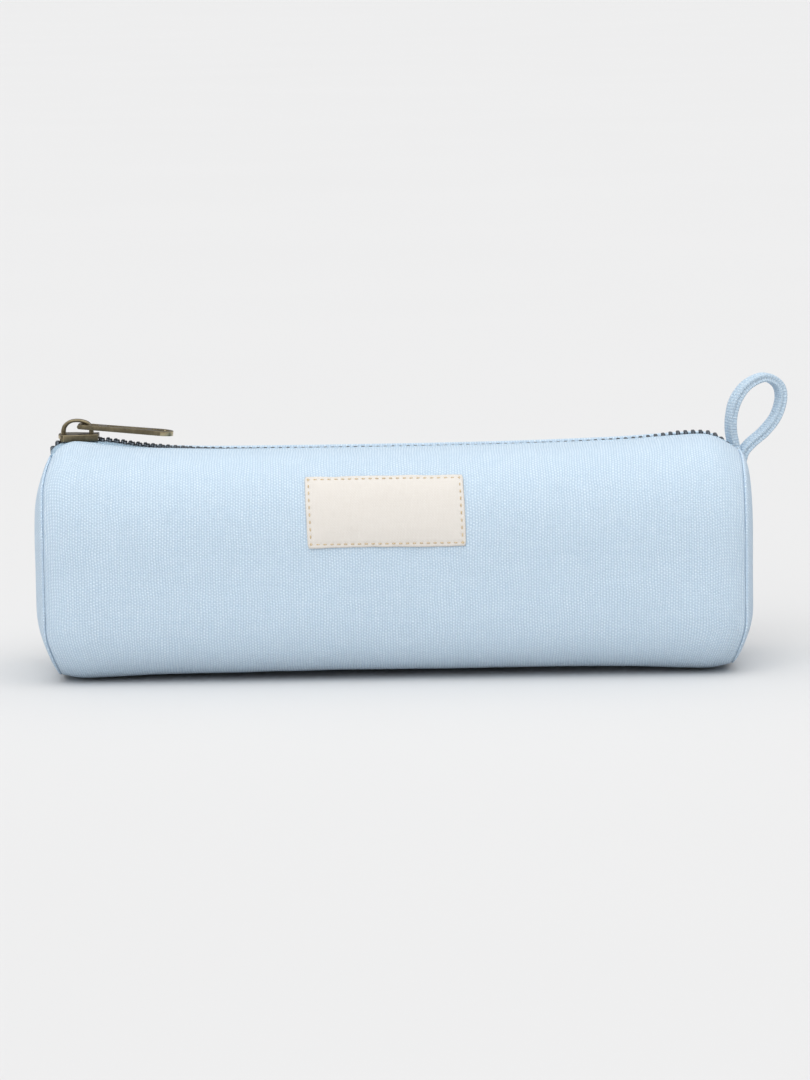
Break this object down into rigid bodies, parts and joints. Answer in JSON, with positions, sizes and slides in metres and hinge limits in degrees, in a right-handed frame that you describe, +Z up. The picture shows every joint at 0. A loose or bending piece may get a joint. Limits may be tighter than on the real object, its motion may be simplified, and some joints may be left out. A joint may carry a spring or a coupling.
{
  "type": "pencil case",
  "caption": "Soft padded barrel pencil case of rounded-square section with domed ends, a zip along the top with a pull tab, a blank sewn label and a fabric hanging loop.",
  "frame": {"origin": "centre of the underside, midway along the case, on the surface it rests on", "axes": "+X runs along the zip from the slider's closed end to the end with the hanging loop, -Y faces the front with the label, +Z is up"},
  "size_m": [0.2311, 0.0728, 0.0902],
  "materials": {
    "canvas": "plain-woven cotton canvas, light blue",
    "loop_canvas": "the same canvas folded in four and stitched",
    "interlining": "white foam interlining",
    "lining": "smooth woven polyester lining",
    "binding": "woven bias tape",
    "zip_tape": "woven zip tape, light blue",
    "zip_teeth": "gunmetal-plated brass, worn bright on the crowns",
    "slider_metal": "antique-plated zinc, rubbed bright on the edges",
    "thread": "spun sewing thread",
    "label_cloth": "cream twill",
    "label_thread": "tan sewing thread"
  },
  "bodies": {
    "root": {"outer_panel": "canvas", "left_end_panel": "canvas", "right_end_panel": "canvas", "body_interlining": "interlining", "left_end_interlining": "interlining", "right_end_interlining": "interlining", "body_lining": "lining", "left_end_lining": "lining", "right_end_lining": "lining", "left_seam_binding": "binding", "right_seam_binding": "binding", "zipper_tape_front": "zip_tape", "zipper_tape_rear": "zip_tape", "zipper_teeth_front": "zip_teeth", "zipper_teeth_rear": "zip_teeth", "topstitch_front": "thread", "topstitch_rear": "thread", "label": "label_cloth", "label_stitching": "label_thread"},
    "slider": {"slider_body": "slider_metal", "slider_bridge": "slider_metal"},
    "pull": {"pull_tab": "slider_metal"},
    "loop": {"hanging_loop": "loop_canvas", "loop_stitching": "thread"}
  },
  "joints": [
    {"name": "slider_slide", "type": "slide", "parent": "root", "child": "slider", "axis": [1, 0, 0], "range_m": [0, 0.1905], "deforming": ["zipper_teeth_front", "zipper_teeth_rear"]},
    {"name": "pull_swing", "type": "hinge", "parent": "slider", "child": "pull", "pos_m": [-0.0955, 0, 0.07565], "axis": [0, -1, 0], "range_deg": [0, 185]},
    {"name": "loop_flex", "type": "hinge", "parent": "root", "child": "loop", "pos_m": [0.105, 0.0085, 0.0753], "axis": [-0.342, 0.9397, 0], "range_deg": [-60, 8], "stiffness_Nm_per_rad": 0.003}
  ]
}
